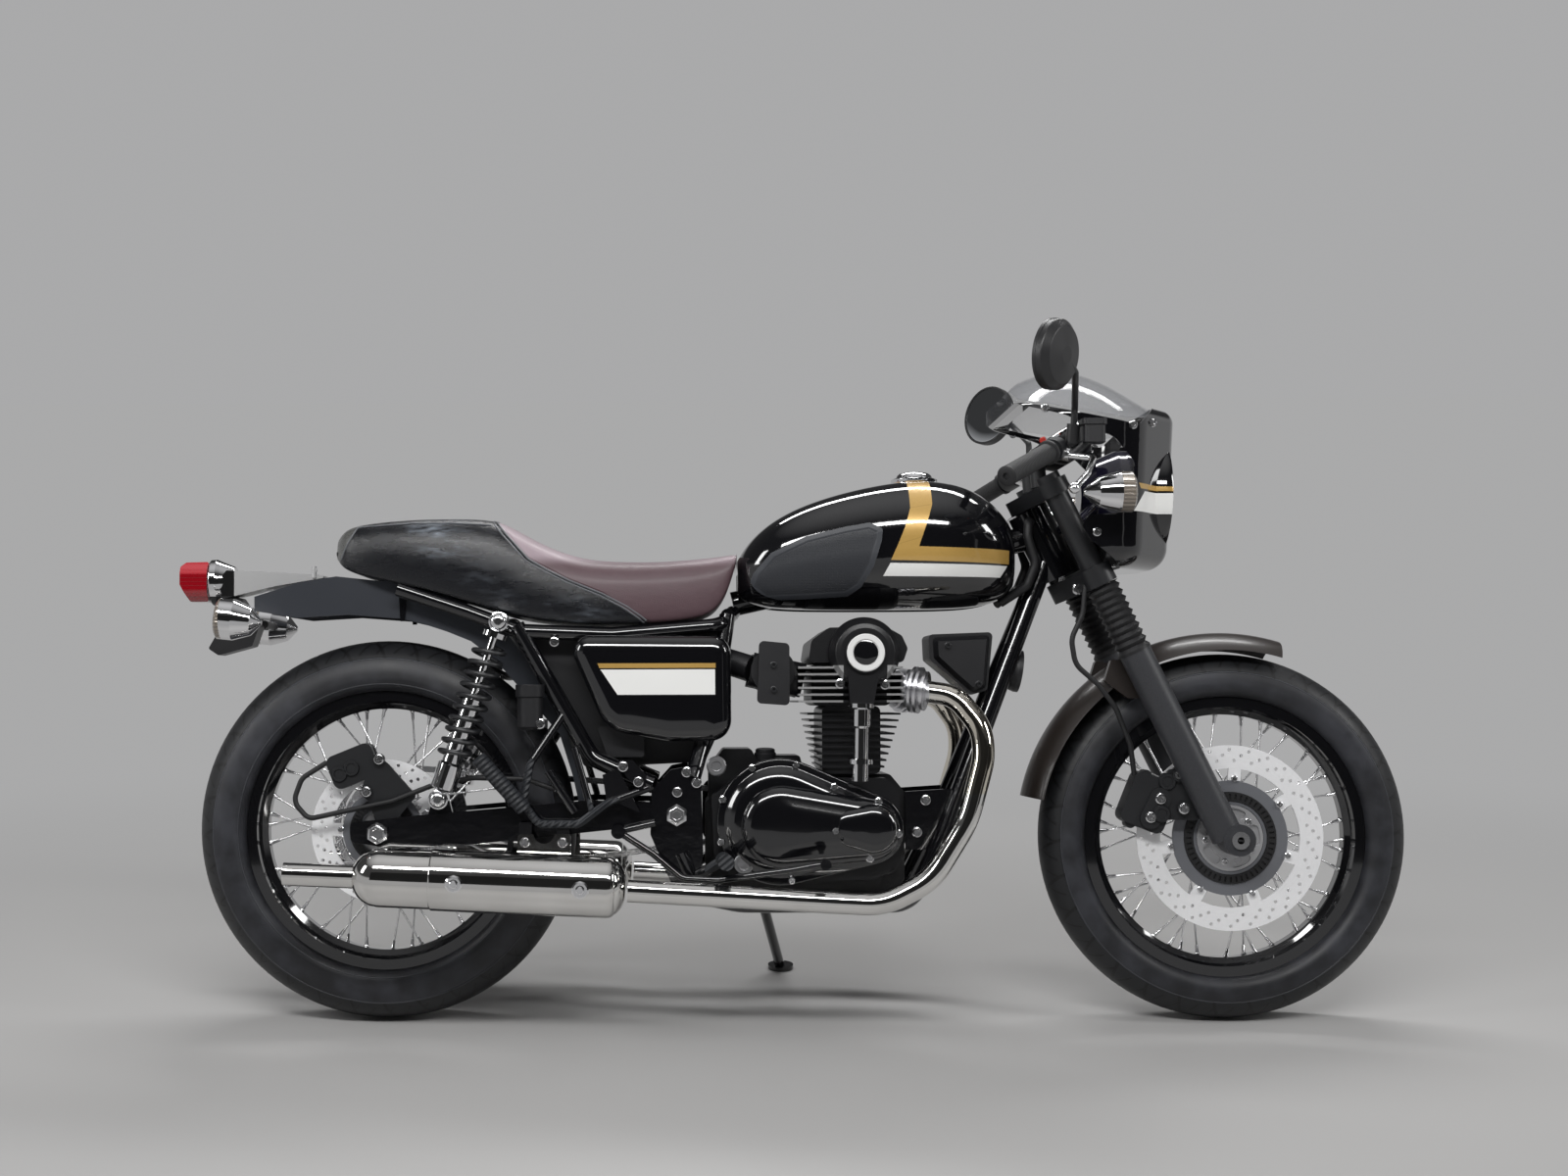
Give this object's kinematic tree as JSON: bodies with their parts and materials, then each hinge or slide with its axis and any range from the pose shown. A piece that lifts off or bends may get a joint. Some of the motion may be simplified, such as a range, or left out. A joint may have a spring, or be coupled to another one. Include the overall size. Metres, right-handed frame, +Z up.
{
  "type": "cafe racer motorcycle",
  "caption": "Retro parallel-twin cafe racer motorcycle with a small fork-mounted fairing, spoked wheels and a humped seat, leaning on its side stand.",
  "frame": {"origin": "on the floor, under the middle of the whole machine's box", "axes": "+X to the front of the bike, +Y to the rider's left, +Z up; the bike leans 10 degrees to +Y"},
  "size_m": [2.1494, 0.8028, 1.2123],
  "materials": {
    "gloss_black_paint": "gloss black paint",
    "black_frame_paint": "gloss black frame enamel",
    "satin_black_paint": "satin black",
    "brown_black_paint": "satin brown-black",
    "engine_black": "semi-gloss black engine enamel",
    "chrome_plate": "bright chrome",
    "silver_alloy": "satin alloy",
    "zinc_steel": "zinc-plated steel",
    "disc_steel": "ground steel",
    "tyre_rubber": "matt tyre rubber",
    "soft_rubber": "matt black rubber",
    "pad_rubber": "grey knee pad rubber",
    "seat_vinyl": "black and red-brown vinyl",
    "red_lens": "red lens",
    "screen_plastic": "lightly smoked clear screen",
    "moulded_black": "moulded black plastic"
  },
  "bodies": {
    "frame": {"airbox": "moulded_black", "cam_drive_tube": "chrome_plate", "crankcase": "engine_black", "cylinder_block": "engine_black", "cylinder_head": "engine_black", "drive_chain": "zinc_steel", "engine_covers": "gloss_black_paint", "exhaust_pipes": "chrome_plate", "foot_controls": "black_frame_paint", "footpegs": "soft_rubber", "frame": "black_frame_paint", "fuel_tank": "gloss_black_paint", "horn": "moulded_black", "knee_pads": "pad_rubber", "rear_axle": "zinc_steel", "rear_brake_hose": "soft_rubber", "rear_brake_tank": "moulded_black", "rear_caliper": "satin_black_paint", "rear_indicators": "chrome_plate", "rear_mudguard": "satin_black_paint", "regulator_box": "moulded_black", "seat": "seat_vinyl", "shock_absorbers": "chrome_plate", "shock_springs": "satin_black_paint", "side_covers": "gloss_black_paint", "silencers": "chrome_plate", "swingarm": "black_frame_paint", "tail_lens": "red_lens", "tail_light": "chrome_plate", "throttle_bodies": "moulded_black", "wiring_sheath": "soft_rubber"},
    "steering": {"fork_yokes": "satin_black_paint", "fork_tubes": "satin_black_paint", "fork_sliders": "satin_black_paint", "fork_gaiters": "soft_rubber", "front_axle": "zinc_steel", "front_caliper": "satin_black_paint", "front_mudguard": "brown_black_paint", "handlebar": "satin_black_paint", "handgrips": "soft_rubber", "hand_levers": "silver_alloy", "brake_reservoir": "moulded_black", "mirrors": "moulded_black", "instruments": "moulded_black", "headlight": "gloss_black_paint", "front_indicators": "chrome_plate", "fairing": "gloss_black_paint", "windscreen": "screen_plastic", "brake_hose": "soft_rubber"},
    "front_wheel": {"front_tyre": "tyre_rubber", "front_rim": "gloss_black_paint", "front_hub": "silver_alloy", "front_disc": "disc_steel"},
    "rear_wheel": {"rear_tyre": "tyre_rubber", "rear_rim": "gloss_black_paint", "rear_hub": "silver_alloy", "rear_disc": "disc_steel", "rear_sprocket": "zinc_steel"},
    "side_stand": {"side_stand": "black_frame_paint"}
  },
  "joints": [
    {"name": "steering", "type": "hinge", "parent": "frame", "child": "steering", "pos_m": [0.48421, -0.05788, 0.74008], "axis": [-0.4384, 0.1561, 0.8851], "range_deg": [-35, 35]},
    {"name": "front_wheel_spin", "type": "hinge", "parent": "steering", "child": "front_wheel", "pos_m": [0.75625, -0.13289, 0.31465], "axis": [0, 0.9848, -0.1736], "continuous": true},
    {"name": "rear_wheel_spin", "type": "hinge", "parent": "frame", "child": "rear_wheel", "pos_m": [-0.70875, -0.13046, 0.32844], "axis": [0, 0.9848, -0.1736], "continuous": true},
    {"name": "side_stand_fold", "type": "hinge", "parent": "frame", "child": "side_stand", "pos_m": [-0.04675, -0.03726, 0.17746], "axis": [0.043, 0.79, 0.6116], "range_deg": [0, 93.2]}
  ]
}
